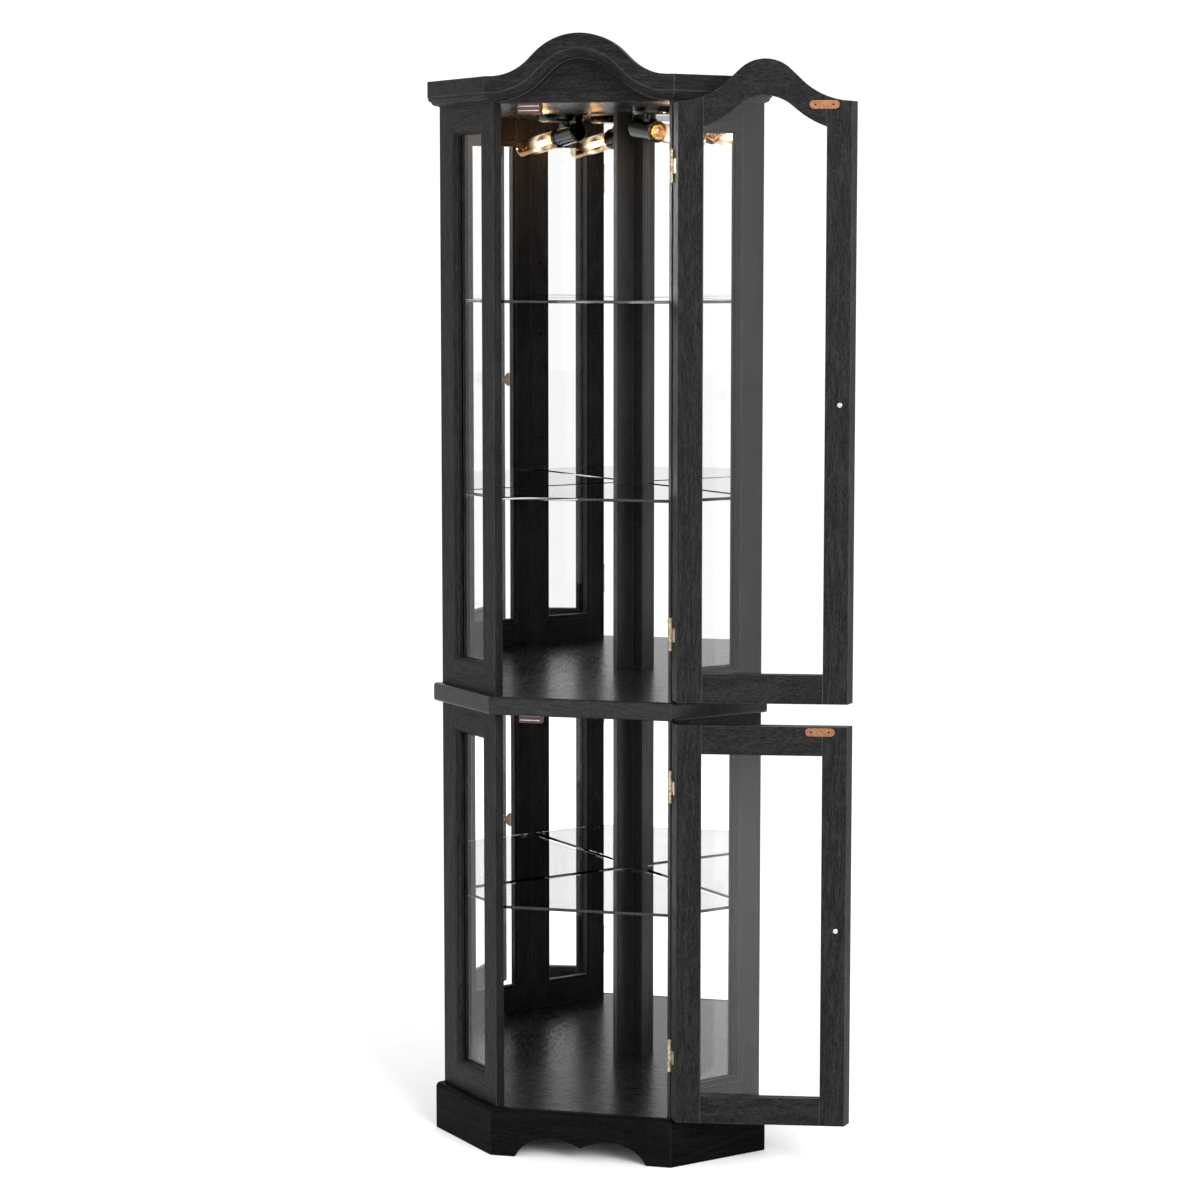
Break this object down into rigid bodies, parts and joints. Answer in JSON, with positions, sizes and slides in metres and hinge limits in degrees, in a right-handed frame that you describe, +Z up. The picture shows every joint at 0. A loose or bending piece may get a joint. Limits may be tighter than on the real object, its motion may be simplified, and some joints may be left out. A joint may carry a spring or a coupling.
{
  "type": "corner curio cabinet",
  "caption": "Tall five-sided corner curio cabinet with glazed sides, arched cornice, upper and lower glazed doors, mirrored back, glass shelves and a lamp.",
  "frame": {"origin": "on the floor at the rear corner, where the two room walls meet behind the cabinet", "axes": "+Z up; the doors face -Y; +X to the right of somebody facing them; the two back faces run from the origin along (-1,-1,0) and (1,-1,0)"},
  "size_m": [0.7136, 0.42, 1.8],
  "materials": {
    "black_wood": "satin black stain over open oak grain",
    "plinth_wood": "satin black stain over open oak grain",
    "clear_glass": "clear, polished edges",
    "mirror": "silvered",
    "backing_board": "painted hardboard",
    "antique_brass": "antique",
    "bright_brass": "plated",
    "nickel_screw": "plated",
    "copper_plate": "copper-brown plated steel",
    "brown_plastic": "moulded",
    "black_plastic": "moulded",
    "lamp_glass": "clear",
    "rubber": "moulded"
  },
  "bodies": {
    "cabinet": {"back_boards": "backing_board", "bulb_cap": "bright_brass", "bulb_glass": "lamp_glass", "cable_grommet": "rubber", "door_header": "black_wood", "fascia_front": "black_wood", "fascia_sides": "black_wood", "floor_panel": "black_wood", "frame_hinge_leaves": "antique_brass", "hinge_pins": "antique_brass", "lamp_canopy": "black_plastic", "lamp_socket": "black_plastic", "lower_corner_post": "black_wood", "lower_left_glass": "clear_glass", "lower_left_mirror": "mirror", "lower_left_rails": "black_wood", "lower_left_stiles": "black_wood", "lower_right_glass": "clear_glass", "lower_right_mirror": "mirror", "lower_right_rails": "black_wood", "lower_right_stiles": "black_wood", "lower_side_beads": "black_wood", "magnetic_catches": "brown_plastic", "middle_panel": "black_wood", "moulding_front": "black_wood", "moulding_sides": "black_wood", "plinth_back_rails": "plinth_wood", "plinth_blocks": "plinth_wood", "plinth_front": "plinth_wood", "plinth_left": "plinth_wood", "plinth_right": "plinth_wood", "shelf_pins": "bright_brass", "top_panel": "black_wood", "upper_corner_post": "black_wood", "upper_left_glass": "clear_glass", "upper_left_mirror": "mirror", "upper_left_rails": "black_wood", "upper_left_stiles": "black_wood", "upper_right_glass": "clear_glass", "upper_right_mirror": "mirror", "upper_right_rails": "black_wood", "upper_right_stiles": "black_wood", "upper_side_beads": "black_wood"},
    "upper_door": {"upper_door_glass": "clear_glass", "upper_door_hinge_leaves": "antique_brass", "upper_door_rails": "black_wood", "upper_door_stiles": "black_wood", "upper_knob": "antique_brass", "upper_knob_screw": "nickel_screw", "upper_strike_plate": "copper_plate"},
    "lower_door": {"lower_door_glass": "clear_glass", "lower_door_hinge_leaves": "antique_brass", "lower_door_rails": "black_wood", "lower_door_stiles": "black_wood", "lower_knob": "antique_brass", "lower_knob_screw": "nickel_screw", "lower_strike_plate": "copper_plate"},
    "top_shelf": {"top_shelf": "clear_glass"},
    "middle_shelf": {"middle_shelf": "clear_glass"},
    "bottom_shelf": {"bottom_shelf": "clear_glass"}
  },
  "joints": [
    {"name": "upper_door_hinge", "type": "hinge", "parent": "cabinet", "child": "upper_door", "pos_m": [0.14515, -0.3973, 1.2275], "axis": [0, 0, 1], "range_deg": [-188.2, 4]},
    {"name": "lower_door_hinge", "type": "hinge", "parent": "cabinet", "child": "lower_door", "pos_m": [0.14515, -0.3973, 0.399], "axis": [0, 0, 1], "range_deg": [-188.2, 4]},
    {"name": "top_shelf_lift", "type": "slide", "parent": "cabinet", "child": "top_shelf", "axis": [0, 0, 1], "range_m": [0, 0.064]},
    {"name": "middle_shelf_lift", "type": "slide", "parent": "cabinet", "child": "middle_shelf", "axis": [0, 0, 1], "range_m": [0, 0.064]},
    {"name": "bottom_shelf_lift", "type": "slide", "parent": "cabinet", "child": "bottom_shelf", "axis": [0, 0, 1], "range_m": [0, 0.064]}
  ]
}
